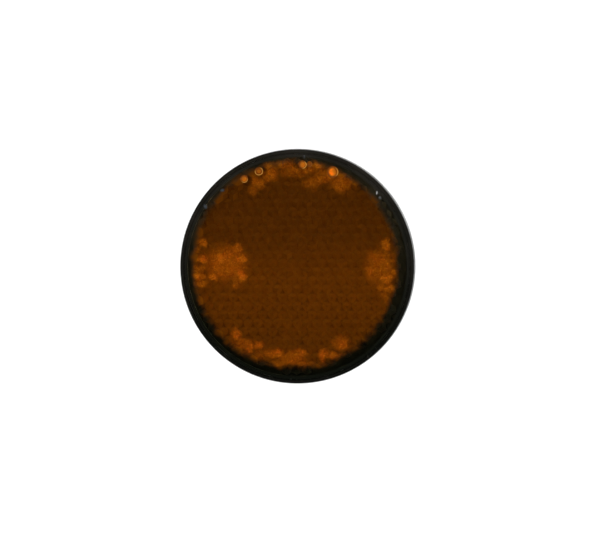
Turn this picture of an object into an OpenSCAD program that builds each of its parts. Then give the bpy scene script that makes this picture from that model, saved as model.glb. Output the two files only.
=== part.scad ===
// Round raised pavement marker: a black moulded button with one amber cube-corner reflector,
// fixed by a captive bolt, washers and a nut. All lengths are in millimetres.
// The origin is on the axis at the mounting plane, and +Z points out of the pavement.

/* [Body] */
// Diameter of the housing at its foot
marker_d = 60; // [56:1:70]
// Height of the rim above the mounting plane
marker_h = 13.5; // [13.5:0.5:18]
// How far the side wall leans in between foot and rim
side_lean = 0.6; // [0.5:0.1:0.6]
// Radius of the rounding on the rim's outer edge
rim_round = 0.8; // [0.5:0.1:0.8]
// Thickness of the butyl pad under the housing
pad_t = 1.5; // [1.5:0.1:2]

/* [Reflector] */
// Distance across the flats of one hexagonal prism
prism_pitch = 2.5; // [2.3:0.1:2.7]
// Thickness of the clear plate in front of the prisms
plate_t = 1.8; // [1.5:0.1:1.9]
// Depth of the lens's face below the rim
lens_recess = 0.6; // [0.3:0.1:0.8]
// Thickness of the lens's skirt
skirt_t = 0.5; // [0.4:0.1:0.6]

/* [Fixing] */
// Nominal diameter of the bolt's thread
thread_d = 8; // [6:1:8]
// Length of bolt below the mounting plane
stud_len = 32; // [28:1:45]
// Space between the mounting plane and the first washer
grip = 6.3; // [4:0.1:9]
// Nut's size across its flats
nut_af = 13; // [12:0.5:13]
// Nut's height
nut_h = 6.5; // [6:0.1:7]

/* [Hidden] */
$fn = 96;

// Housing
foot_r = marker_d / 2;
foot_z = pad_t;
lean_z = 3;                    // the wall is upright below this height
rim_t = 1.6;
recess_r = foot_r - rim_t;       // the well that holds the lens
wall_t = 2;
floor_z = 8;                   // top of the floor under the lens
floor_t = 2.5;
groove_depth = 0.4;            // for the bond ring, in the floor's edge
foot_edge = 0.4;               // chamfer at the foot
boss_r = 9.5;
boss_floor_z = 3;              // the bolt's head sits here
rib_count = 8;
rib_t = 1.5;
rib_z = 3;                     // lower edge of the ribs

// Lens
lens_r = recess_r - 0.15;
lens_z = marker_h - lens_recess;
lens_edge = 0.3;
plate_z = lens_z - plate_t;
skirt_z = floor_z + 0.1;       // lower edge of the skirt
skirt_in_r = lens_r - skirt_t;
prism_limit_r = skirt_in_r - 0.05;
prism_overlap = 0.3;           // of the prism layer and the plate, so that they fuse

// Cube corners in a hexagonal array: a cell has its apex lowest, three corners at one cube
// rise above it and the other three at two
cell_r = prism_pitch / sqrt(3);
cube_edge = prism_pitch / sqrt(2);
rise = cube_edge / sqrt(3);
crest_z = plate_z - 0.15;      // highest points of the prism surface
apex_z = crest_z - 2 * rise;
patch_z = apex_z + rise + 0.1; // how high the bond patches wet the prisms
patch_r = skirt_in_r - 0.6;    // outer edge of the bond patches
wetted_angle = 8;              // how far round from a patch its prisms are cut out of it

// Fixing
thread_r = thread_d / 2;
thread_depth = 0.8;
head_af = 13;
head_h = 5.3;
head_gap = 0.3;                // across the flats, between the head and its pocket
bolt_hole_r = thread_r + 0.1;
flat_washer_t = 1.6;
flat_washer_r = 8;
spring_washer_t = 2;
spring_washer_r = 7.2;
washer_bore_r = thread_r + 0.2;
nut_bore_r = thread_r + 0.05;
nut_gap = 0.05;                // running clearance under the spring washer
spring_washer_z = -grip - flat_washer_t;
nut_z = spring_washer_z - spring_washer_t - nut_gap;
o_ring_r = pad_t / 2;

// ---- helpers ----

// Cell centres and corners lie on a grid of half pitches across and half cell radii up
function grid(i, j, z) = [i * prism_pitch / 2, j * cell_r / 2, z];
function angle_between(a, b) = abs((a - b + 540) % 360 - 180);

// Corners of a cell by angle, from 30 degrees: [across, up, height in cubes]
corners = [[1, 1, 2], [0, 2, 1], [-1, 1, 2], [-1, -1, 1], [0, -2, 2], [1, -1, 1]];
// The neighbour across the side between a corner and the next
neighbours = [[1, 3], [-1, 3], [-2, 0], [-1, -3], [1, -3], [2, 0]];

// Solid layer of cube corners over the cells for which keep(i, j) is true, from top_z down
module cube_corners(keep, top_z) {
    rows = ceil(2 * foot_r / cell_r / 3);
    cells = [for (row = [-rows:rows], col = [-rows:rows])
        let (i = 2 * col + abs(row) % 2, j = 3 * row) if (keep(i, j)) [i, j]];
    points = [for (c = cells) each concat(
        [grid(c.x, c.y, apex_z)],
        [for (k = corners) grid(c.x + k.x, c.y + k.y, apex_z + k[2] * rise)],
        [for (k = corners) grid(c.x + k.x, c.y + k.y, top_z)])];
    squares = [[0, 6, 1, 2], [0, 2, 3, 4], [0, 4, 5, 6]];
    top = [[12, 11, 10, 9, 8, 7]];
    faces = [for (n = [0:len(cells) - 1])
        let (c = cells[n],
            walls = [for (k = [0:5]) let (next = (k + 1) % 6)
                if (!keep(c.x + neighbours[k].x, c.y + neighbours[k].y))
                    [1 + k, 7 + k, 7 + next, 1 + next]])
        each [for (face = concat(squares, top, walls)) [for (p = face) 13 * n + p]]];
    polyhedron(points, faces);
}

// Whole cells that fit inside the lens's skirt
in_lens = function(i, j) norm(grid(i, j, 0)) + cell_r <= prism_limit_r;

// Regular hexagonal prism by its size across flats
module hex(af, h) {
    cylinder(h = h, r = af / sqrt(3), $fn = 6);
}

// Cone-edged disc that takes the corners off a hexagon, on the ends asked for
module corner_turning(af, h, top, bottom) {
    corner_r = af / sqrt(3) + 0.01;
    flat_r = af / 2 * 0.96;
    drop = (corner_r - flat_r) * tan(30);
    rotate_extrude() polygon([[0, 0], [bottom ? flat_r : corner_r, 0],
        [corner_r, bottom ? drop : 0], [corner_r, top ? h - drop : h],
        [top ? flat_r : corner_r, h], [0, h]]);
}

// ---- housing ----

// Outline of the housing's outside: upright foot, leaning wall on one arc, rounded rim
module outer_profile() {
    rise_h = marker_h - lean_z;
    wall_arc_r = (rise_h * rise_h + side_lean * side_lean) / (2 * side_lean);
    arc_x = foot_r - wall_arc_r;
    round_z = marker_h - rim_round;
    round_x = arc_x + sqrt(pow(wall_arc_r - rim_round, 2) - pow(round_z - lean_z, 2));
    lean = atan2(round_z - lean_z, round_x - arc_x);
    reach = 3 * rim_round;
    difference() {
        union() {
            translate([0, foot_z]) square([foot_r, lean_z - foot_z]);
            intersection() {
                translate([0, lean_z]) square([foot_r, rise_h]);
                translate([arc_x, lean_z]) circle(r = wall_arc_r, $fn = 720);
            }
        }
        translate([round_x, round_z]) difference() {
            polygon([[0, 0], [0, reach], [reach, reach], reach * [cos(lean), sin(lean)]]);
            circle(r = rim_round);
        }
        translate([foot_r, foot_z]) rotate(45) square(foot_edge * sqrt(2), center = true);
    }
}

module housing_ribs() {
    for (k = [0:rib_count - 1]) rotate(k * 360 / rib_count)
        translate([boss_r - 0.5, -rib_t / 2, rib_z])
            cube([foot_r - wall_t - boss_r + 1, rib_t, floor_z - floor_t - rib_z + 0.5]);
}

module housing() {
    rim_in_edge = 0.15;
    groove_in_r = skirt_in_r - 0.1;
    color("#1c1b19") {
        difference() {
            rotate_extrude($fn = 180) difference() {
                outer_profile();
                translate([0, floor_z]) square([recess_r, marker_h]);
                translate([groove_in_r, floor_z - groove_depth])
                    square([recess_r - groove_in_r, marker_h]);
                translate([recess_r, marker_h]) rotate(45)
                    square(rim_in_edge * sqrt(2), center = true);
                translate([boss_r, 0]) square([foot_r - wall_t - boss_r, floor_z - floor_t]);
            }
            translate([0, 0, -1]) cylinder(h = marker_h, r = bolt_hole_r);
            translate([0, 0, boss_floor_z]) hex(head_af + head_gap, marker_h);
        }
        housing_ribs();
    }
}

// ---- reflector ----

module reflector_lens() {
    color("#c65a05") {
        rotate_extrude($fn = 180) polygon([[0, plate_z], [skirt_in_r, plate_z],
            [skirt_in_r, skirt_z], [lens_r, skirt_z], [lens_r, lens_z - lens_edge],
            [lens_r - lens_edge, lens_z], [0, lens_z]]);
        cube_corners(in_lens, plate_z + prism_overlap);
    }
}

module lens_bond_ring() {
    ring_in_r = skirt_in_r - 0.05;
    color("#2a2824") translate([0, 0, floor_z - groove_depth]) difference() {
        cylinder(h = skirt_z - floor_z + groove_depth, r = recess_r - 0.05);
        translate([0, 0, -1]) cylinder(h = 3, r = ring_in_r);
    }
}

// Adhesive between the floor and the prisms, over one or more sectors of a ring:
// spans holds [middle angle, half angle]
module bond_patch(in_r, spans) {
    color("#d9c9a0") difference() {
        translate([0, 0, floor_z]) for (s = spans) rotate(s[0] - s[1])
            rotate_extrude(angle = 2 * s[1]) translate([in_r, 0])
                square([patch_r - in_r, patch_z - floor_z]);
        cube_corners(function(i, j) in_lens(i, j) && near_patch(grid(i, j, 0), in_r, spans),
            plate_z);
    }
}

// Is a cell close enough to a patch to be wetted by it?
function near_patch(p, in_r, spans) = norm(p) > in_r - prism_pitch
    && len([for (s = spans) if (angle_between(atan2(p.y, p.x), s[0]) < s[1] + wetted_angle) 1]) > 0;

module bond_patch_top() {
    bond_patch(0.77 * patch_r, [[71, 13], [107, 14]]);
}

module bond_patch_bottom() {
    bond_patch(0.88 * patch_r, [[251, 22], [294, 14]]);
}

module bond_patch_left() {
    bond_patch(0.51 * patch_r, [[180, 17]]);
}

module bond_patch_right() {
    bond_patch(0.73 * patch_r, [[0, 17]]);
}

// ---- fixing ----

module anchor_bolt() {
    tip = thread_depth;
    color("#b9bcc0") {
        translate([0, 0, boss_floor_z]) intersection() {
            hex(head_af, head_h);
            corner_turning(head_af, head_h, true, false);
        }
        translate([0, 0, tip - stud_len])
            cylinder(h = boss_floor_z + stud_len - tip + 0.5, r = thread_r);
        translate([0, 0, -stud_len]) cylinder(h = tip, r1 = thread_r - tip, r2 = thread_r);
    }
}

module potting_fill() {
    color("#5d5a53") difference() {
        translate([0, 0, foot_z]) difference() {
            cylinder(h = floor_z - floor_t - foot_z, r = foot_r - wall_t);
            translate([0, 0, -1]) cylinder(h = floor_z, r = boss_r);
        }
        housing_ribs();
    }
}

module base_pad() {
    color("#262522") difference() {
        cylinder(h = pad_t, r = foot_r - 1);
        translate([0, 0, -1]) cylinder(h = pad_t + 2, r = thread_r + 2 * o_ring_r + 0.25);
    }
}

module stud_o_ring() {
    color("#141414") translate([0, 0, o_ring_r]) rotate_extrude()
        translate([thread_r + o_ring_r + 0.02, 0]) circle(r = o_ring_r);
}

module flat_washer() {
    edge = 0.2;
    color("#b4b7ba") translate([0, 0, spring_washer_z]) rotate_extrude()
        polygon([[washer_bore_r, 0], [flat_washer_r - edge, 0], [flat_washer_r, edge],
            [flat_washer_r, flat_washer_t], [washer_bore_r, flat_washer_t]]);
}

// A ring split by a slanting cut
module spring_washer() {
    split = 0.8;
    color("#a6a9ad") translate([0, 0, nut_z + nut_gap]) difference() {
        cylinder(h = spring_washer_t, r = spring_washer_r);
        translate([0, 0, -1]) cylinder(h = spring_washer_t + 2, r = washer_bore_r);
        translate([0, 0, spring_washer_t / 2]) rotate([35, 0, 0])
            translate([0, -split / 2, -4]) cube([2 * spring_washer_r, split, 8]);
    }
}

module hex_nut() {
    sink = 0.5;
    color("#bec1c4") translate([0, 0, nut_z - nut_h]) difference() {
        intersection() {
            hex(nut_af, nut_h);
            corner_turning(nut_af, nut_h, true, true);
        }
        translate([0, 0, -1]) cylinder(h = nut_h + 2, r = nut_bore_r);
        translate([0, 0, -0.01]) cylinder(h = sink, r1 = nut_bore_r + sink, r2 = nut_bore_r);
        translate([0, 0, nut_h - sink + 0.01])
            cylinder(h = sink, r1 = nut_bore_r, r2 = nut_bore_r + sink);
    }
}

housing();
reflector_lens();
lens_bond_ring();
bond_patch_top();
bond_patch_bottom();
bond_patch_left();
bond_patch_right();
anchor_bolt();
potting_fill();
base_pad();
stud_o_ring();
flat_washer();
spring_washer();
hex_nut();
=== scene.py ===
import math

import bmesh
import bpy
from mathutils import Matrix, Vector, noise


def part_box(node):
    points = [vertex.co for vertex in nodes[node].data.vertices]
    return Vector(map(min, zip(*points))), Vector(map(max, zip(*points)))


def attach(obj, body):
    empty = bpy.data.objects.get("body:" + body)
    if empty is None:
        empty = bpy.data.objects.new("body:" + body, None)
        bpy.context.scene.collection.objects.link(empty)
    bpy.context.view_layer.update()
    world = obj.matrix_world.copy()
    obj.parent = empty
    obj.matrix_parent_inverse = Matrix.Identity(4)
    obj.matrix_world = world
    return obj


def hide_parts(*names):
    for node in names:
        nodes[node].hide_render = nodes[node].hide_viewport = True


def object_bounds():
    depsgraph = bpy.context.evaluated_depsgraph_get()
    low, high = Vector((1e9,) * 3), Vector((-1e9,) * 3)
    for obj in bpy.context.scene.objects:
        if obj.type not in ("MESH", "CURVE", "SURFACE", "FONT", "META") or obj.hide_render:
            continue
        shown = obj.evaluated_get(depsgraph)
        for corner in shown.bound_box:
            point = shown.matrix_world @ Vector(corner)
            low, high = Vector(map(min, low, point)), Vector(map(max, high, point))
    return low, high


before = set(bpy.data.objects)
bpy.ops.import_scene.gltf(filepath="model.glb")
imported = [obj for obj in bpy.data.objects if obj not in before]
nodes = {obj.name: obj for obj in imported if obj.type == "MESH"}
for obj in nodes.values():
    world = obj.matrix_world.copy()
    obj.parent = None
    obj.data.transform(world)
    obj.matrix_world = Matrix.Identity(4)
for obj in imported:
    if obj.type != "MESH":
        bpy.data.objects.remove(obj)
cad_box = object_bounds()

MM = 0.001

# ---- sizes that the frame gives ----

_, lens_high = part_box("reflector_lens")
bolt_low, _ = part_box("anchor_bolt")
nut_low, nut_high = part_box("hex_nut")
pad_low, pad_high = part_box("base_pad")

LENS_R = lens_high.x
LENS_TOP = lens_high.z
PAD_R = pad_high.x

# ---- sizes that are the same in part.scad ----

LENS_CHAMFER = 0.3 * MM
PLATE_T = 1.8 * MM  # the clear plate in front of the prisms
PLATE_BOTTOM = LENS_TOP - PLATE_T
PRISM_PITCH = 2.5 * MM
SKIRT_R = 27.75 * MM  # inside of the lens's skirt
SKIRT_T = 0.5 * MM
PAD_HOLE_R = 5.75 * MM
NUT_BORE_R = 4.05 * MM

# Thread of the bolt and the nut, metric M8 coarse, with a hair of clearance
PITCH = 1.25 * MM
MAJOR_R = 3.98 * MM
MINOR_R = 3.23 * MM
TIP_CHAMFER = 0.8 * MM


# ---- mesh helpers ----

def finish_bmesh(name, bm, materials, sharp_deg=35):
    """Turns a bmesh into an object in the scene, smooth apart from edges over sharp_deg."""
    mesh = bpy.data.meshes.new(name)
    bm.to_mesh(mesh)
    bm.free()
    if "custom_normal" in mesh.attributes:  # the CAD mesh's normals don't fit a changed mesh
        mesh.attributes.remove(mesh.attributes["custom_normal"])
    mesh.polygons.foreach_set("use_smooth", [True] * len(mesh.polygons))
    mesh.set_sharp_from_angle(angle=math.radians(sharp_deg))
    for material in materials:
        mesh.materials.append(material)
    piece = bpy.data.objects.new(name, mesh)
    bpy.context.scene.collection.objects.link(piece)
    return piece


def bmesh_of(node_name):
    """The CAD node's mesh with its doubled vertices joined, to build a piece on."""
    bm = bmesh.new()
    bm.from_mesh(nodes[node_name].data)
    bmesh.ops.remove_doubles(bm, verts=bm.verts, dist=1e-6)
    bm.normal_update()
    return bm


def polar(radius, angle, z):
    return Vector((radius * math.cos(angle), radius * math.sin(angle), z))


def add_ring_strip(bm, rings):
    """Quads from each closed ring of vertices to the next one."""
    for a, b in zip(rings, rings[1:]):
        for k in range(len(a)):
            after = (k + 1) % len(a)
            bm.faces.new((a[k], a[after], b[after], b[k]))


def lathe(bm, profile, steps, shape=polar):
    """Wall turned about +Z from (radius, z) points, open at both ends. Returns its rings of vertices.

    shape(radius, angle, z) places each vertex, so it may bend the wall.
    """
    rings = [[bm.verts.new(shape(r, 2 * math.pi * k / steps, z)) for k in range(steps)]
             for r, z in profile]
    add_ring_strip(bm, rings)
    return rings


def add_thread(bm, wall_r, crest_r, wall_half, crest_half, low, high, phase, limit=None):
    """Right-handed ridge of a thread: a bar wound round the axis, tapered at both ends.

    It grows out of the bore or the core at wall_r, where it is 2 x wall_half high along Z, and
    ends at crest_r, where it is 2 x crest_half high. limit(z) may hold the crest inside a chamfer.
    """
    per_turn, fade_turns = 48, 0.4
    least_share, least_ridge = 0.02, 0.01 * MM
    turns = (high - low) / PITCH
    count = int(turns * per_turn)
    sections = []
    for k in range(count + 1):
        turn = k / per_turn
        z = low + turn * PITCH
        angle = 2 * math.pi * z / PITCH + phase
        fade = min(1, turn / fade_turns, (turns - turn) / fade_turns)
        crest = wall_r + (crest_r - wall_r) * max(fade, least_share)
        if limit:
            crest = min(crest, max(limit(z), wall_r + least_ridge))
        share = (crest - wall_r) / (crest_r - wall_r)
        half = wall_half + (crest_half - wall_half) * share
        corners = ((wall_r, -wall_half), (crest, -half), (crest, half), (wall_r, wall_half))
        sections.append([bm.verts.new(polar(r, angle, z + dz)) for r, dz in corners])
    add_ring_strip(bm, sections)
    bm.faces.new(sections[0])
    bm.faces.new(sections[-1])


# ---- node material helpers ----

class Nodes:
    """Short names for building a material's node tree."""

    def __init__(self, name):
        self.material = bpy.data.materials.new(name)
        self.material.use_nodes = True
        self.tree = self.material.node_tree
        self.tree.nodes.clear()
        self.out = self.add("ShaderNodeOutputMaterial")
        self.shader = self.add("ShaderNodeBsdfPrincipled")
        self.link(self.shader, "BSDF", self.out, "Surface")
        coordinates = self.add("ShaderNodeTexCoord")
        self.position = (coordinates, "Object")
        split = self.add("ShaderNodeSeparateXYZ")
        self.join(self.position, split.inputs[0])
        self.y, self.z = (split, "Y"), (split, "Z")

    def add(self, kind, **settings):
        node = self.tree.nodes.new(kind)
        for key, value in settings.items():
            setattr(node, key, value)
        return node

    def link(self, a, a_socket, b, b_socket):
        self.tree.links.new(a.outputs[a_socket], b.inputs[b_socket])

    def join(self, value, socket):
        """Puts a (node, socket) pair, a colour or a number into a socket."""
        if isinstance(value, tuple) and hasattr(value[0], "outputs"):
            self.tree.links.new(value[0].outputs[value[1]], socket)
        elif hasattr(value, "__len__") and len(socket.default_value) == 4:
            socket.default_value = (*value, 1)
        else:
            socket.default_value = value

    def set(self, **values):
        """Fixed numbers on the shader's own sockets."""
        for key, value in values.items():
            self.join(value, self.shader.inputs[key.replace("_", " ")])

    def drive(self, source, name):
        """Joins a source to one of the shader's own sockets."""
        self.join(source, self.shader.inputs[name])

    def noise(self, scale, detail=3.0, roughness=0.55, stretch=None, distortion=0.0, place=None):
        """Noise at the object's own coordinates, or at another place; stretch scales the axes."""
        node = self.add("ShaderNodeTexNoise")
        node.inputs["Scale"].default_value = scale
        node.inputs["Detail"].default_value = detail
        node.inputs["Roughness"].default_value = roughness
        node.inputs["Distortion"].default_value = distortion
        place = place or self.position
        if stretch:
            place = self.vector("MULTIPLY", place, stretch)
        self.join(place, node.inputs["Vector"])
        return node, "Fac"

    def vector(self, operation, *values):
        node = self.add("ShaderNodeVectorMath", operation=operation)
        for value, socket in zip(values, node.inputs):
            self.join(value, socket)
        return node, "Value" if operation in ("LENGTH", "DOT_PRODUCT") else "Vector"

    def ramp(self, source, stops):
        """Colour ramp from (place, colour or grey) stops."""
        node = self.add("ShaderNodeValToRGB")
        self.join(source, node.inputs["Fac"])
        elements = node.color_ramp.elements
        while len(elements) < len(stops):
            elements.new(0.5)
        for element, (place, colour) in zip(elements, stops):
            element.position = place
            element.color = (*colour, 1) if hasattr(colour, "__len__") else (colour,) * 3 + (1,)
        return node, "Color"

    def fade(self, source, start, end, low=0.0, high=1.0):
        """low before start, high after end and a smooth step between them; start may be above end."""
        node = self.add("ShaderNodeMapRange", interpolation_type="SMOOTHSTEP")
        if start > end:
            start, end, low, high = end, start, high, low
        self.join(source, node.inputs["Value"])
        for name, value in (("From Min", start), ("From Max", end), ("To Min", low), ("To Max", high)):
            node.inputs[name].default_value = value
        return node, "Result"

    def math(self, operation, a, b=None, c=None, clamp=False):
        node = self.add("ShaderNodeMath", operation=operation, use_clamp=clamp)
        for value, socket in zip((a, b, c), node.inputs):
            if value is not None:
                self.join(value, socket)
        return node, "Value"

    def mix(self, factor, a, b, blend="MIX"):
        node = self.add("ShaderNodeMix", data_type="RGBA", blend_type=blend)
        for socket, value in ((node.inputs[0], factor), (node.inputs[6], a), (node.inputs[7], b)):
            self.join(value, socket)
        return node, 2

    def bump(self, height, strength, distance):
        node = self.add("ShaderNodeBump")
        node.inputs["Strength"].default_value = strength
        node.inputs["Distance"].default_value = distance
        self.join(height, node.inputs["Height"])
        self.link(node, "Normal", self.shader, "Normal")

    def radius(self, centre=(0, 0), scale=(1, 1)):
        """Distance from an axis along Z, with X and Y scaled."""
        moved = self.vector("SUBTRACT", self.position, (centre[0], centre[1], 0))
        return self.vector("LENGTH", self.vector("MULTIPLY", moved, (scale[0], scale[1], 0)))

    def streaks(self, scale, turn, least=0.66):
        """Straight marks along one direction, 20 times as long as wide: 1 on a mark, 0 elsewhere."""
        squeeze, slope, soft = 1 / 20, 0.1, 0.05
        c, s = math.cos(turn), math.sin(turn)
        along = self.vector("DOT_PRODUCT", self.position, (c, s, slope))
        across = self.vector("DOT_PRODUCT", self.position, (-s, c, slope))
        both = self.add("ShaderNodeCombineXYZ")
        self.join(self.math("MULTIPLY", along, squeeze), both.inputs["X"])
        self.join(across, both.inputs["Y"])
        self.join(self.z, both.inputs["Z"])
        lines = self.noise(scale, detail=1, roughness=0.5, place=(both, "Vector"))
        return self.fade(lines, least, least + soft)

    def corner_grid(self, spacing):
        """Three sets of waves that all peak, at 3, on the corners of the hexagonal prisms."""
        per_metre = 2 * math.pi / spacing
        total = None
        for turn in (0, math.pi / 3, 2 * math.pi / 3):
            direction = (math.cos(turn) * per_metre, math.sin(turn) * per_metre, 0)
            wave = self.math("COSINE", self.vector("DOT_PRODUCT", self.position, direction))
            total = self.math("ADD", total, wave) if total else wave
        return total


def set_material(node_name, material):
    """Gives a CAD node that stays visible its material."""
    mesh = nodes[node_name].data
    mesh.materials.clear()
    mesh.materials.append(material)


# ---- materials ----

def black_with_dust_and_painted_light(n, clean_unlit, dusty_lit):
    """Black paler in clouds and towards +Y: a thin film of dust, and painted light falling from the +Y
    side.
    """
    dust_and_light_towards_y = n.fade(n.y, -24 * MM, 24 * MM)
    cloud = n.fade(n.noise(110, detail=5), 0.35, 0.7, 0.55, 1.15)
    return n.mix(n.math("MULTIPLY", dust_and_light_towards_y, cloud, clamp=True), clean_unlit, dusty_lit)


def black_plastic():
    """Moulded black with scuffs in places, and road dust on the lower part of the wall."""
    n = Nodes("black_plastic")
    road_dust_colour, scuff_colour = (0.034, 0.031, 0.027), (0.014, 0.014, 0.011)
    scratches = n.math("MAXIMUM", n.streaks(2600, 0.4), n.streaks(3300, 1.9))
    scuffs = n.math("MULTIPLY", scratches, n.fade(n.noise(90, detail=2), 0.48, 0.62))
    low_down = n.fade(n.z, 12.4 * MM, 3 * MM, 0.0, 0.9)
    patchy = n.fade(n.noise(140, detail=6, stretch=(1, 1, 0.5)), 0.36, 0.68, 0.15, 1.0)
    road_dust = n.math("MULTIPLY", low_down, patchy)
    # The black is paler towards +Y with dust and painted light from that side
    colour = black_with_dust_and_painted_light(n, (0.0014, 0.0016, 0.0009), (0.0092, 0.0080, 0.0060))
    colour = n.mix(road_dust, colour, road_dust_colour)
    n.drive(n.mix(n.math("MULTIPLY", scuffs, 0.8), colour, scuff_colour), "Base Color")
    rough = n.fade(n.noise(160, detail=4), 0.3, 0.7, 0.20, 0.30)
    dulled = n.math("MULTIPLY", n.math("MAXIMUM", scuffs, road_dust), 0.2)
    n.drive(n.math("ADD", rough, dulled), "Roughness")
    n.bump(n.noise(4200, detail=2), 0.35, 0.02 * MM)
    n.set(IOR=1.45, Specular_IOR_Level=0.025)
    return n.material


def amber_face():
    """Clear amber acrylic, slightly hazy and worn."""
    n = Nodes("amber_face")
    haze = n.fade(n.noise(260, detail=3), 0.35, 0.8, 0.0, 0.05)
    wear = n.streaks(3000, 1.1, 0.68)
    n.set(Transmission_Weight=1.0, IOR=1.49, Base_Color=(0.93, 0.56, 0.14))
    n.drive(n.math("ADD", haze, n.math("MULTIPLY", wear, 0.12)), "Roughness")
    n.bump(n.noise(70, detail=1), 0.15, 0.02 * MM)
    return n.material


# Where the bond adhesive wets the backs of the prisms: centre and half size in mm, and strength
WET_SPOTS = [
    # towards -X
    (-23.9, 6.0, 1.3, 1.4, 0.70), (-25.4, 4.4, 1.1, 1.2, 0.45), (-23.9, 1.8, 1.4, 1.5, 0.90),
    (-24.7, -0.6, 2.2, 1.1, 0.60), (-24.7, -2.6, 2.2, 1.0, 0.70), (-24.7, -4.5, 2.2, 1.1, 0.70),
    (-19.4, 2.1, 1.5, 2.2, 0.95), (-14.1, 1.7, 1.4, 1.5, 0.90), (-15.3, 4.4, 1.8, 1.4, 0.60),
    (-14.3, -2.2, 1.7, 1.8, 0.95), (-21.2, -2.7, 2.2, 1.3, 0.65), (-20.2, -0.4, 2.2, 1.7, 0.60),
    (-15.7, -4.3, 1.2, 1.7, 0.45), (-18.0, 0.8, 6.2, 5.4, 0.58),
    # towards +X
    (22.3, 5.3, 1.5, 2.0, 0.75), (20.1, 2.1, 1.9, 1.4, 0.55), (18.6, -1.0, 1.3, 1.7, 0.70),
    (22.3, 1.3, 2.2, 1.7, 0.55), (24.0, -1.4, 1.5, 1.2, 0.60), (25.6, -1.6, 1.1, 1.2, 0.50),
    (22.3, -3.0, 2.3, 1.5, 0.75), (21.3, -5.3, 1.4, 1.4, 0.55), (23.3, -5.5, 1.7, 1.3, 0.75),
    (22.3, -7.7, 1.4, 1.5, 0.40), (20.9, -0.1, 4.6, 5.6, 0.46),
    # towards +Y
    (-6.8, 26.0, 1.8, 1.4, 0.45), (-2.9, 26.0, 3.0, 1.4, 0.62), (5.6, 25.8, 2.2, 1.5, 0.58),
    (-6.8, 23.2, 2.5, 2.2, 0.55), (-9.9, 21.1, 2.4, 2.1, 0.50), (-11.2, 19.4, 1.8, 2.0, 0.35),
    (-0.9, 24.2, 4.5, 2.0, 0.42), (11.3, 21.1, 3.4, 3.0, 0.55), (3.9, 21.2, 3.4, 2.2, 0.42),
    (7.1, 22.8, 3.4, 2.3, 0.50), (2.6, 24.6, 3.0, 1.6, 0.50),
    # towards -Y
    (-15.6, -17.2, 1.5, 2.0, 0.66), (-14.1, -19.6, 3.8, 1.8, 0.44), (-11.9, -20.8, 1.3, 1.3, 0.80),
    (-9.8, -19.9, 1.3, 1.3, 0.75), (-13.4, -22.0, 1.8, 1.1, 0.45), (-6.0, -21.9, 3.2, 1.3, 0.60),
    (-4.8, -22.1, 1.0, 0.9, 1.00), (-1.5, -23.2, 4.4, 2.3, 0.58), (0.9, -21.9, 1.6, 1.3, 0.70),
    (6.6, -22.3, 1.4, 1.6, 0.80), (9.0, -22.7, 1.6, 1.0, 0.85), (11.1, -19.3, 2.7, 2.4, 0.52),
    (11.2, -22.7, 1.8, 1.2, 0.40), (2.0, -24.6, 2.6, 1.1, 0.40), (-5.0, -24.4, 2.0, 1.3, 0.42),
    (-8.9, -23.0, 2.8, 2.2, 0.32),
]
# Painted shade: the dry amber is darkest towards +Y
AMBER_SHADE_BANDS = [  # dry amber from 20 mm on the +Y side to 20 mm on the -Y side
    (0.00, (0.138, 0.062, 0.0075)), (0.30, (0.150, 0.066, 0.0075)), (0.55, (0.208, 0.090, 0.0080)),
    (0.75, (0.204, 0.088, 0.0080)), (1.00, (0.180, 0.080, 0.0080)),
]
AMBER_SHADE_BANDS_HALF = 20 * MM
AMBER_DOT_SHADE = (0.05, 0.024, 0.002)
AMBER_WET = (0.39, 0.165, 0.012)
AMBER_GLOW = (0.60, 0.255, 0.028)
AMBER_CURL_HIGHLIGHT = (0.85, 0.36, 0.07)
AMBER_RUDDY = (1.0, 0.66, 0.8)

# The amber area's outline: a circle a little off the axis, and slightly narrower along X; the shift
# towards -X and +Y paints a shadow of the rim on the +X, -Y side
AMBER_CENTRE = (-0.6 * MM, 0.5 * MM)
AMBER_NARROWING = (1.012, 1)
AMBER_INNER_R, AMBER_OUTER_R = 25.0 * MM, 27.1 * MM
AMBER_RAGGEDNESS = 2.6 * MM


def wet_mask(n):
    """How much adhesive wets the prisms at a place, from 0 to 1."""
    shift = n.vector("SUBTRACT", (n.noise(480, detail=2)[0], "Color"), (0.5, 0.5, 0.5))
    place = n.vector("MULTIPLY_ADD", shift, (2.6 * MM, 2.6 * MM, 0), n.position)
    mask = None
    for x, y, half_x, half_y, strength in WET_SPOTS:
        scale = (1 / (half_x * MM), 1 / (half_y * MM), 0)
        reach = n.vector("LENGTH", n.vector("MULTIPLY_ADD", place, scale, (-x / half_x, -y / half_y, 0)))
        spot = n.fade(reach, 1.25, 0.30, 0.0, strength)
        mask = n.math("MAXIMUM", mask, spot) if mask else spot
    grain = n.fade(n.noise(1500, detail=2), 0.3, 0.7, 0.66, 1.18)
    return n.math("MULTIPLY", mask, grain, clamp=True)


def black_margin(n, depth):
    """Black round the amber area, painted paler where less light comes: by depth, and over the skirt. Like
    the rim, it carries dust and painted light from the +Y side.
    """
    black = black_with_dust_and_painted_light(n, Vector((0.0036, 0.0076, 0.0140)) * depth, Vector((0.031, 0.043, 0.085)) * depth)
    over_skirt = n.fade(n.radius(), SKIRT_R - 0.1 * MM, SKIRT_R + 0.1 * MM)
    return n.mix(over_skirt, black, black_with_dust_and_painted_light(n, (0.16, 0.27, 0.36), (0.76, 0.84, 1.0)))


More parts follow.
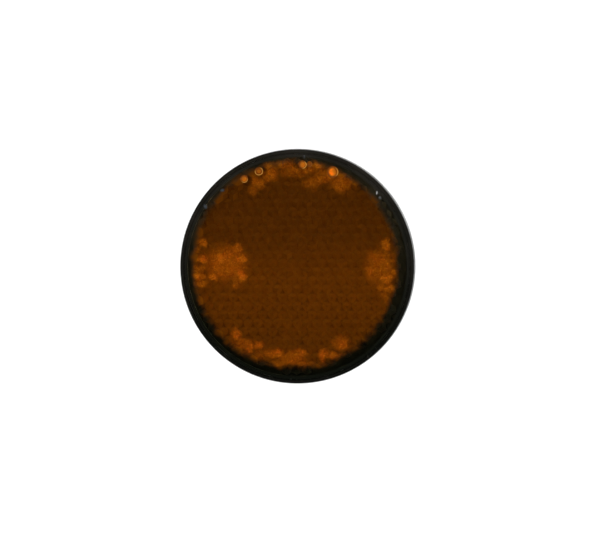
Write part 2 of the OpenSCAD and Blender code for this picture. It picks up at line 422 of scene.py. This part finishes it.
def amber_colour(n, dots=None):
    """Amber of the back of the lens: duller towards +Y by painted shade, wetted in spots, and black at its
    edge, where a painted shadow of the rim reaches further in on the +X, -Y side.

    dots says how dark the painted shade on the corners of the prisms is, where there are prisms.
    """
    depth = 2.3 if dots else 1.0  # the hollows between prisms swallow some of the light
    # Dry amber, with painted shade towards +Y
    dry = n.ramp(n.math("MULTIPLY_ADD", n.y, -0.5 / AMBER_SHADE_BANDS_HALF, 0.5), AMBER_SHADE_BANDS)
    if dots:
        dry = n.mix(dots, dry, AMBER_DOT_SHADE)
    wet = wet_mask(n)
    colour = n.mix(n.fade(wet, 0.0, 0.6), dry, AMBER_WET)
    colour = n.mix(n.fade(wet, 0.5, 1.0), colour, AMBER_GLOW)
    # Thin bright curls of painted highlight, as on ridges of the adhesive, run where a noise crosses its
    # middle value
    wander = n.math("SUBTRACT", n.noise(850, detail=1, distortion=1.4), 0.5)
    curl_highlights = n.fade(n.math("ABSOLUTE", wander), 0.055, 0.01)
    colour = n.mix(n.math("MULTIPLY", curl_highlights, n.fade(wet, 0.15, 0.7, 0.0, 0.6)), colour, AMBER_CURL_HIGHLIGHT)
    # Redder patches, more of them towards -Y
    more_low = n.fade(n.y, -4 * MM, -20 * MM, 0, 0.2)
    patches = n.fade(n.math("ADD", n.noise(240, detail=1), more_low), 0.48, 0.70, 0.0, 0.6)
    colour = n.mix(n.math("MULTIPLY", wet, patches, clamp=True), colour, AMBER_RUDDY, blend="MULTIPLY")
    ragged = n.math("MULTIPLY", n.math("SUBTRACT", n.noise(300, detail=3), 0.5), AMBER_RAGGEDNESS)
    reach = n.math("ADD", n.radius(AMBER_CENTRE, AMBER_NARROWING), ragged)
    return n.mix(n.fade(reach, AMBER_INNER_R, AMBER_OUTER_R), colour, black_margin(n, depth))


def amber_prism(apex_z, crest_z):
    """Back of the prisms. Light goes out through their corners, which are painted with dark dots of shade,
    stronger towards -Y.
    """
    n = Nodes("amber_prism")
    level = n.fade(n.z, apex_z, crest_z)
    low_or_high = n.ramp(level, [(0.0, 1.0), (0.10, 1.0), (0.26, 0.0), (0.84, 0.0), (0.97, 0.5)])
    on_grid = n.fade(n.corner_grid(PRISM_PITCH / 2), 0.9, 2.7, 0.0, 0.9)
    corner = n.math("MAXIMUM", low_or_high, on_grid)
    # The dots' painted shade grows stronger towards -Y, with how the light falls
    towards_low = n.fade(n.y, 9 * MM, -12 * MM, 0.06, 0.36)
    uneven = n.fade(n.noise(280, detail=2), 0.3, 0.7, 0.35, 1.25)
    dots = n.math("MULTIPLY", n.math("MULTIPLY", corner, towards_low), uneven)
    n.drive(amber_colour(n, dots), "Base Color")
    n.drive(n.fade(n.noise(300), 0.3, 0.7, 0.48, 0.62), "Roughness")
    n.set(Specular_IOR_Level=0.2)
    return n.material


def amber_margin():
    """Back of the lens beyond the prisms, with the skirt: the same colours without dots."""
    n = Nodes("amber_margin")
    n.drive(amber_colour(n), "Base Color")
    n.drive(n.fade(n.noise(300), 0.3, 0.7, 0.5, 0.65), "Roughness")
    n.set(Specular_IOR_Level=0.03)
    return n.material


def trapped_air():
    """Air mirrors the light, through the metal shading and as painted highlights: "core" says how bright a
    bubble's painted middle is, "ring" how bright the painted highlight on its rim.
    """
    n = Nodes("trapped_air")
    rim_highlight_colour = (1.0, 0.78, 0.42)
    middle_light_stops = [(0.0, (0.20, 0.060, 0.005)), (0.4, (0.52, 0.20, 0.012)), (0.7, (0.80, 0.23, 0.022))]
    ring = n.add("ShaderNodeAttribute", attribute_name="ring")
    core = n.add("ShaderNodeAttribute", attribute_name="core")
    film = n.fade(n.noise(1100, detail=1), 0.35, 0.65, 0.65, 1.1)
    middle = n.ramp(n.math("MULTIPLY", (core, "Fac"), film), middle_light_stops)
    n.drive(n.mix((ring, "Fac"), middle, rim_highlight_colour), "Base Color")
    n.drive(n.math("MAXIMUM", (ring, "Fac"), (core, "Fac")), "Metallic")
    n.set(Roughness=0.3)
    return n.material


def grit():
    """Flakes on the face: "pale" says how pale each of them is."""
    n = Nodes("grit")
    darkest, palest = (0.006, 0.008, 0.010), (0.58, 0.60, 0.62)
    fleck = n.noise(2200, detail=2)
    pale = n.add("ShaderNodeAttribute", attribute_name="pale")
    tint = n.math("MULTIPLY", (pale, "Fac"), n.fade(fleck, 0.3, 0.7, 0.6, 1.1), clamp=True)
    n.drive(n.mix(tint, darkest, palest), "Base Color")
    n.drive(n.fade(fleck, 0.3, 0.7, 0.45, 0.7), "Roughness")
    n.bump(fleck, 0.5, 0.02 * MM)
    n.set(Specular_IOR_Level=0.05)
    return n.material


# How much the marks of the tool are squeezed along X, Y and Z
TURNED, ROLLED = (0.12, 0.12, 1.6), (1.6, 0.12, 0.12)


def zinc_steel(name, tool_marks=TURNED):
    """Zinc plating over steel: cloudy, faintly warm and cool, with duller spots and tool marks."""
    n = Nodes(name)
    cool, grey, warm = (0.27, 0.28, 0.30), (0.33, 0.33, 0.325), (0.37, 0.352, 0.31)
    spot_colour = (0.24, 0.235, 0.22)
    marks = n.noise(2600, detail=2, stretch=tool_marks)
    cloud = n.noise(130, detail=4)
    tint = n.ramp(cloud, [(0.32, cool), (0.52, grey), (0.72, warm)])
    spots = n.fade(n.noise(520, detail=4), 0.58, 0.76)
    n.drive(n.mix(n.math("MULTIPLY", spots, 0.6), tint, spot_colour), "Base Color")
    rough = n.math("ADD", n.fade(cloud, 0.3, 0.75, 0.24, 0.40), n.math("MULTIPLY", spots, 0.16))
    n.drive(rough, "Roughness")
    n.bump(marks, 0.25, 0.02 * MM)
    n.set(Metallic=1.0)
    return n.material


def butyl():
    """Matt black butyl with talc rubbed into it in places."""
    n = Nodes("butyl")
    talc_colour = (0.16, 0.155, 0.145)
    lumps = n.noise(220, detail=4)
    grains = n.noise(2600, detail=2)
    talc = n.math("MULTIPLY", n.fade(n.noise(60, detail=5), 0.52, 0.68), n.fade(grains, 0.4, 0.7))
    base = n.ramp(lumps, [(0.3, (0.012, 0.012, 0.011)), (0.7, (0.022, 0.021, 0.019))])
    n.drive(n.mix(n.math("MULTIPLY", talc, 0.35), base, talc_colour), "Base Color")
    n.drive(n.fade(lumps, 0.3, 0.7, 0.62, 0.82), "Roughness")
    n.bump(n.math("ADD", lumps, n.math("MULTIPLY", grains, 0.3)), 0.5, 0.12 * MM)
    return n.material


def seal_rubber():
    """The O-ring: smooth rubber with a pale bloom."""
    n = Nodes("seal_rubber")
    bloom = n.noise(500, detail=4)
    n.drive(n.ramp(bloom, [(0.35, (0.012, 0.012, 0.012)), (0.75, (0.030, 0.029, 0.028))]), "Base Color")
    n.drive(n.fade(bloom, 0.3, 0.7, 0.42, 0.6), "Roughness")
    n.bump(n.noise(5000, detail=1), 0.2, 0.01 * MM)
    return n.material


def seal_black():
    """Black elastic adhesive with a skin, and the same film of dust and painted light from the +Y side as
    the rim.
    """
    n = Nodes("seal_black")
    skin = n.noise(700, detail=3)
    n.drive(black_with_dust_and_painted_light(n, (0.0021, 0.0027, 0.0013), (0.0116, 0.0104, 0.0078)), "Base Color")
    n.drive(n.fade(skin, 0.3, 0.7, 0.35, 0.5), "Roughness")
    n.bump(skin, 0.3, 0.03 * MM)
    n.set(Specular_IOR_Level=0.025)
    return n.material


def cured_adhesive():
    """Straw-coloured adhesive with flow marks."""
    n = Nodes("cured_adhesive")
    flow = n.noise(260, detail=4, distortion=0.6)
    n.drive(n.ramp(flow, [(0.3, (0.46, 0.34, 0.17)), (0.7, (0.66, 0.53, 0.33))]), "Base Color")
    n.drive(n.fade(flow, 0.3, 0.7, 0.30, 0.48), "Roughness")
    n.bump(flow, 0.3, 0.08 * MM)
    n.set(Subsurface_Weight=0.1)
    return n.material


def potting_resin():
    """Cast resin filled with pale sand."""
    n = Nodes("potting_resin")
    sand_colour = (0.26, 0.25, 0.22)
    sand = n.noise(1600, detail=3)
    flow = n.noise(120, detail=3)
    tint = n.ramp(flow, [(0.3, (0.085, 0.080, 0.071)), (0.7, (0.125, 0.117, 0.104))])
    n.drive(n.mix(n.fade(sand, 0.56, 0.66, 0.0, 0.6), tint, sand_colour), "Base Color")
    n.drive(n.fade(sand, 0.3, 0.7, 0.55, 0.75), "Roughness")
    n.bump(sand, 0.4, 0.05 * MM)
    return n.material


# ---- lens ----

FACE, PRISM, MARGIN, EDGE = range(4)  # the lens's finishes, in the order of its materials


def make_lens(face, margin, edge):
    """The CAD lens with its four kinds of surface told apart by place and by the Z of their normals.

    That is 0.58 for the facets of the prisms. The prism layer is lifted by a hair, so that it
    doesn't share its surface with the bond patches.
    """
    lift = 0.03 * MM
    bm = bmesh_of("reflector_lens")
    for f in bm.faces:
        centre, normal_z = f.calc_center_median(), abs(f.normal.z)
        if centre.z < PLATE_BOTTOM + 0.01 * MM:
            f.material_index = PRISM if 0.3 < normal_z < 0.7 else MARGIN
        elif centre.xy.length > LENS_R - LENS_CHAMFER and normal_z < 0.95:
            f.material_index = EDGE
        else:
            f.material_index = FACE
    prism_verts = {v for f in bm.faces if f.material_index == PRISM for v in f.verts}
    for v in prism_verts:
        v.co.z += lift
    heights = [v.co.z for v in prism_verts]
    prism = amber_prism(min(heights), max(heights))
    piece = finish_bmesh("amber_lens", bm, [face, prism, margin, edge], 20)
    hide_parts("reflector_lens")
    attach(piece, "marker")


# Bubbles in the lens's plate: centre and radius in mm, how bright the painted highlight on the rim is, how
# much of it is lit, which side of it is lit in degrees, the middle's size and the brightness of its
# painted light, and how much brighter the middle is painted on the lit side (darker if negative)
BUBBLES = [
    (-13.35, 22.1, 1.00, 0.7, 0.4, -60, 0.60, 0.34, 0.7),
    (-9.6, 24.0, 1.05, 0.8, 0.9, -60, 0.40, 0.30, 0.0),
    (1.4, 25.65, 1.05, 0.9, 0.45, -15, 0.60, 0.34, 0.3),
    (3.15, 25.8, 0.70, 0.2, 0.9, 0, 0.30, 0.08, 0.0),
    (9.0, 23.8, 1.45, 0.7, 0.3, 0, 0.66, 0.54, -0.6),
]


def make_bubbles():
    """Flat closed bubbles inside the lens's plate: a tilted middle inside a raised rim.

    Places and heights within a bubble are shares of its radius.
    """
    spokes, rows = 40, 26
    base = Vector((0, 0, PLATE_BOTTOM + 0.40 * MM))
    rim_share, rim_width, rim_height = 0.88, 0.06, 0.035
    core_sharpness, lit_sharpness = 14, 4
    tilt, thickness, waviness = 0.17, 0.2, 0.05
    bm = bmesh.new()
    ring_layer, core_layer = [bm.verts.layers.float.new(name) for name in ("ring", "core")]
    for x, y, radius, bright, lit, side_deg, core_size, core_bright, lean in BUBBLES:
        side = math.radians(side_deg)

        def rim_at(share):
            return math.exp(-((share - rim_share) / rim_width) ** 2)

        def core_at(share):
            return 1 / (1 + math.exp((share / core_size - 1) * core_sharpness))

        def place(share, angle, depth):
            wobble = 1 + waviness * noise.noise(Vector((x + math.cos(angle), y + math.sin(angle), 0)))
            slope = tilt * share * math.cos(angle - side) * core_at(share)
            height = rim_height * rim_at(share) - slope - depth
            return (Vector((x, y, 0)) + polar(share * radius * wobble, angle, height * radius)) * MM + base

        profile = [((row + 1) / rows, 0) for row in range(rows)] + [(1, thickness)]
        rings = lathe(bm, profile, spokes, place)
        centre = bm.verts.new(place(0, 0, 0))
        # Painted highlights: the rim is painted bright only on its lit side, the middle brighter or darker
        # towards that side
        centre[core_layer] = core_bright
        for (share, _), loop in zip(profile, rings):
            for k, v in enumerate(loop):
                towards = math.cos(2 * math.pi * k / spokes - side)
                lit_here = min(1, max(0, (0.5 * towards - 0.5 + lit) * lit_sharpness))
                v[ring_layer] = bright * rim_at(share) * lit_here
                shading = 1 + lean * min(1, share / core_size) * towards
                v[core_layer] = core_bright * core_at(share) * shading
        for k in range(spokes):
            bm.faces.new((centre, rings[0][k], rings[0][(k + 1) % spokes]))
        bm.faces.new(rings[-1])
    bmesh.ops.recalc_face_normals(bm, faces=bm.faces)
    piece = finish_bmesh("trapped_bubbles", bm, [trapped_air()], 60)
    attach(piece, "marker")


# ---- edge seal ----

def make_edge_seal(material):
    """The bond ring under the lens's skirt, with the adhesive that rose beside the lens.

    It laps over the edge of the lens's face as a thin film, a little further in than the skirt below,
    and stands slightly higher against the housing.
    """
    steps, waves = 240, 9
    ring_low, ring_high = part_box("lens_bond_ring")
    ring_in = LENS_R - SKIRT_T
    gap_in, gap_out = LENS_R + 0.005 * MM, ring_high.x + 0.03 * MM
    film_in = SKIRT_R - 0.15 * MM
    film_top, film_under = LENS_TOP + 0.018 * MM, LENS_TOP + 0.004 * MM
    film_slope, film_raggedness = 0.08 * MM, 0.07 * MM
    profile = [
        (ring_in, ring_low.z), (gap_out, ring_low.z), (gap_out, film_top + 0.03 * MM),
        (LENS_R - 0.1 * MM, film_top), (film_in + film_slope, film_top), (film_in, film_under),
        (LENS_R - LENS_CHAMFER, film_under), (gap_in, LENS_TOP - LENS_CHAMFER + 0.01 * MM),
        (gap_in, ring_high.z), (ring_in, ring_high.z),
    ]

    def uneven(r, angle, z):
        on_film_edge = r < SKIRT_R and z > LENS_TOP
        ragged = film_raggedness * noise.noise(polar(waves, angle, 0)) if on_film_edge else 0
        return polar(r + ragged, angle, z)

    bm = bmesh.new()
    rings = lathe(bm, profile, steps, uneven)
    add_ring_strip(bm, [rings[-1], rings[0]])
    bmesh.ops.recalc_face_normals(bm, faces=bm.faces)
    piece = finish_bmesh("edge_seal", bm, [material], 40)
    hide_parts("lens_bond_ring")
    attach(piece, "marker")


# Grit on the lens's face: place and half size in mm, turn in degrees, how pale
SPECKS = [(20.1, 18.6, 0.13, 0.5, -12, 0.8), (20.9, 17.3, 0.35, 0.45, 20, 0.08),
          (-23.1, 15.2, 0.5, 0.7, 30, 0.035), (-18.8, 19.2, 0.6, 0.4, 10, 0.03),
          (1.9, 27.6, 0.14, 0.6, 5, 0.08)]


def make_specks():
    """Thin irregular flakes of grit and paint, stuck to the face near its edge."""
    corners, thick, raggedness, top_share = 9, 0.04 * MM, 0.35, 0.75
    bm = bmesh.new()
    pale_layer = bm.verts.layers.float.new("pale")
    for x, y, half_x, half_y, turn_deg, pale in SPECKS:
        turn = Matrix.Rotation(math.radians(turn_deg), 3, "Z")
        outline = []
        for k in range(corners):
            angle = 2 * math.pi * k / corners
            ragged = 1 + raggedness * noise.noise(Vector((x, y, 2.7 * k)))
            outline.append(turn @ Vector((half_x * math.cos(angle), half_y * math.sin(angle), 0)) * ragged)
        centre = Vector((x * MM, y * MM, LENS_TOP))
        low, high = [[bm.verts.new(centre + p * MM * share + Vector((0, 0, z))) for p in outline]
                     for share, z in ((1, -thick / 4), (top_share, thick * 0.75))]
        add_ring_strip(bm, [low, high])
        top = bm.verts.new(centre + Vector((0, 0, thick)))
        for k in range(corners):
            bm.faces.new((top, high[k], high[(k + 1) % corners]))
        bm.faces.new(low)
        for v in (*low, *high, top):
            v[pale_layer] = pale
    bmesh.ops.recalc_face_normals(bm, faces=bm.faces)
    piece = finish_bmesh("grit_specks", bm, [grit()], 60)
    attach(piece, "marker")


# ---- fixing ----

def make_bolt(steel):
    """The CAD bolt's head and neck, cut off below the head, on a shank with a cut thread."""
    cut_z, core_top, thread_top = -1 * MM, -0.9 * MM, -1.6 * MM
    neck_r, runout = MAJOR_R - 0.02 * MM, 0.5 * MM
    tip_z = bolt_low.z
    bm = bmesh_of("anchor_bolt")
    cut = bmesh.ops.bisect_plane(bm, geom=bm.verts[:] + bm.edges[:] + bm.faces[:], dist=1e-7,
                                 plane_co=(0, 0, cut_z), plane_no=(0, 0, 1), clear_inner=True)
    rim = [e for e in cut["geom_cut"] if isinstance(e, bmesh.types.BMEdge)]
    bmesh.ops.edgeloop_fill(bm, edges=rim)
    profile = [(MINOR_R - TIP_CHAMFER / 2, tip_z), (MINOR_R, tip_z + TIP_CHAMFER / 2),
               (MINOR_R, thread_top), (neck_r, thread_top + runout), (neck_r, core_top)]
    rings = lathe(bm, profile, 64)
    bm.faces.new(rings[0])
    bm.faces.new(rings[-1])

    def inside_chamfer(z):
        return MAJOR_R - TIP_CHAMFER + (z - tip_z)

    add_thread(bm, wall_r=MINOR_R - 0.05 * MM, crest_r=MAJOR_R, wall_half=0.49 * MM, crest_half=0.085 * MM,
               low=tip_z + 0.55 * MM, high=thread_top + 0.1 * MM, phase=0.0, limit=inside_chamfer)
    bmesh.ops.recalc_face_normals(bm, faces=bm.faces)
    piece = finish_bmesh("threaded_bolt", bm, [steel], 25)
    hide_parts("anchor_bolt")
    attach(piece, "marker")


def make_nut(steel):
    """The CAD nut with a thread in its bore, half a turn from the bolt's ridge."""
    inset = 0.45 * MM
    bm = bmesh_of("hex_nut")
    add_thread(bm, wall_r=NUT_BORE_R + 0.05 * MM, crest_r=MINOR_R + 0.1 * MM, wall_half=0.47 * MM,
               crest_half=0.14 * MM, low=nut_low.z + inset, high=nut_high.z - inset, phase=math.pi)
    bmesh.ops.recalc_face_normals(bm, faces=bm.faces)
    piece = finish_bmesh("threaded_nut", bm, [steel], 25)
    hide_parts("hex_nut")
    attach(piece, "nut")


# ---- butyl pad ----

def make_pad(material):
    """A soft disc with rounded lower edges, a squeezed, slightly wavy side and a dimpled underside."""
    steps, zones = 240, 14
    round_r, bulge, border = 0.45 * MM, 0.12 * MM, 1 * MM
    wave_depth, waves, dimple_depth, dimple_scale = 0.18 * MM, 2.5, 0.10 * MM, 160
    bottom, top = pad_low.z, pad_high.z
    # How far in and up a quarter circle leads, from the flat underside to the upright side
    quarter = [(round_r * (1 - math.sin(k * math.pi / 8)), round_r * (1 - math.cos(k * math.pi / 8)))
               for k in range(5)]
    profile = [(PAD_HOLE_R + inwards, bottom + up) for inwards, up in reversed(quarter)]
    profile += [(PAD_HOLE_R + (PAD_R - PAD_HOLE_R) * k / zones, bottom) for k in range(1, zones)]
    profile += [(PAD_R - inwards, bottom + up) for inwards, up in quarter]
    profile += [(PAD_R + bulge, (bottom + top) / 2), (PAD_R, top), (PAD_HOLE_R, top)]

    def soften(r, angle, z):
        wave = noise.noise(polar(waves, angle, 0)) * wave_depth if r > PAD_R - border else 0
        point = polar(r + wave, angle, z)
        if z == bottom and PAD_HOLE_R + border < r < PAD_R - border:
            point.z += dimple_depth * (0.5 + noise.noise(point * dimple_scale))
        return point

    bm = bmesh.new()
    rings = lathe(bm, profile, steps, soften)
    add_ring_strip(bm, [rings[-1], rings[0]])
    bmesh.ops.recalc_face_normals(bm, faces=bm.faces)
    piece = finish_bmesh("butyl_pad", bm, [material], 50)
    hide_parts("base_pad")
    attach(piece, "marker")


# ---- the object ----

seal = seal_black()
make_lens(amber_face(), amber_margin(), seal)
make_bubbles()
make_specks()
make_edge_seal(seal)
turned_steel = zinc_steel("zinc_turned")
make_bolt(turned_steel)
make_nut(zinc_steel("zinc_nut"))
make_pad(butyl())
set_material("housing", black_plastic())
set_material("flat_washer", zinc_steel("zinc_stamped", ROLLED))
set_material("spring_washer", turned_steel)
adhesive = cured_adhesive()
for patch in ("bond_patch_top", "bond_patch_bottom", "bond_patch_left", "bond_patch_right"):
    set_material(patch, adhesive)
set_material("stud_o_ring", seal_rubber())
set_material("potting_fill", potting_resin())


# ---- studio ----

def make_floor():
    """White paper just below the tip of the stud."""
    gap, half_size = 0.5 * MM, 3.0
    n = Nodes("floor_paper")
    paper = n.ramp(n.noise(6, detail=2), [(0.3, (0.875, 0.875, 0.872)), (0.7, (0.90, 0.90, 0.897))])
    n.drive(paper, "Base Color")
    n.set(Roughness=0.95)
    bm = bmesh.new()
    bmesh.ops.create_grid(bm, x_segments=1, y_segments=1, size=half_size)
    floor = finish_bmesh("floor", bm, [n.material])
    floor.location.z = cad_box[0][2] - gap


def soft_sun(azimuth_deg, elevation_deg, strength, spread_deg):
    """A sun with a wide disc, so that the floor is lit evenly. Azimuth 0 is +X, 90 is +Y."""
    data = bpy.data.lights.new(f"sun_{azimuth_deg}", "SUN")
    data.energy = strength
    data.angle = math.radians(spread_deg)
    light = bpy.data.objects.new(data.name, data)
    bpy.context.scene.collection.objects.link(light)
    turn, lift = math.radians(azimuth_deg), math.radians(elevation_deg)
    towards = Vector((math.cos(turn) * math.cos(lift), math.sin(turn) * math.cos(lift), math.sin(lift)))
    light.location = towards
    light.rotation_euler = towards.to_track_quat("Z", "Y").to_euler()


# Brightness of the sky by height, from the horizon at 0 to overhead at 1
HORIZON, OVERHEAD = (0.0, 1.05), (0.93, 0.002)
SKY_BETWEEN = ((0.03, 0.92), (0.15, 0.62), (0.7, 0.45))


def make_world():
    """Pale at the horizon and dark overhead, where the flat lens mirrors it."""
    world = bpy.data.worlds.new("studio")
    bpy.context.scene.world = world
    world.use_nodes = True
    tree = world.node_tree
    tree.nodes.clear()
    out = tree.nodes.new("ShaderNodeOutputWorld")
    back = tree.nodes.new("ShaderNodeBackground")
    coord = tree.nodes.new("ShaderNodeTexCoord")
    split = tree.nodes.new("ShaderNodeSeparateXYZ")
    ramp = tree.nodes.new("ShaderNodeValToRGB")
    tree.links.new(coord.outputs["Generated"], split.inputs[0])
    tree.links.new(split.outputs["Z"], ramp.inputs["Fac"])
    tree.links.new(ramp.outputs["Color"], back.inputs["Color"])
    tree.links.new(back.outputs["Background"], out.inputs["Surface"])
    stops = ramp.color_ramp.elements
    for stop, (height, grey) in zip(stops, (HORIZON, OVERHEAD)):
        stop.position, stop.color = height, (grey, grey, grey, 1)
    for height, grey in SKY_BETWEEN:
        stops.new(height).color = (grey, grey, grey, 1)
    back.inputs["Strength"].default_value = 1.0


def make_camera():
    """Looks straight down on the face, apart from a small tilt, with +Y up in the picture."""
    tilt, distance = math.radians(3.2), 0.4
    aside = Vector((0.86, 0.5, 0)).normalized()
    aim = Vector((0.7, -2.1, 8.0)) * MM
    away = aside * math.sin(tilt) + Vector((0, 0, math.cos(tilt)))
    data = bpy.data.cameras.new("camera")
    data.sensor_width = 36
    data.lens = 94.1
    data.clip_start, data.clip_end = 0.01, 20
    camera = bpy.data.objects.new("camera", data)
    bpy.context.scene.collection.objects.link(camera)
    across = Vector((0, 1, 0)).cross(away).normalized()
    up = away.cross(across)
    turn = Matrix((across, up, away)).transposed().to_4x4()
    camera.matrix_world = Matrix.Translation(aim + away * distance) @ turn
    bpy.context.scene.camera = camera


make_floor()
make_world()
for azimuth in (90, 0, 180, 270):
    soft_sun(azimuth, elevation_deg=50, strength=1.4, spread_deg=50)
make_camera()
bpy.context.scene.view_settings.view_transform = "Standard"
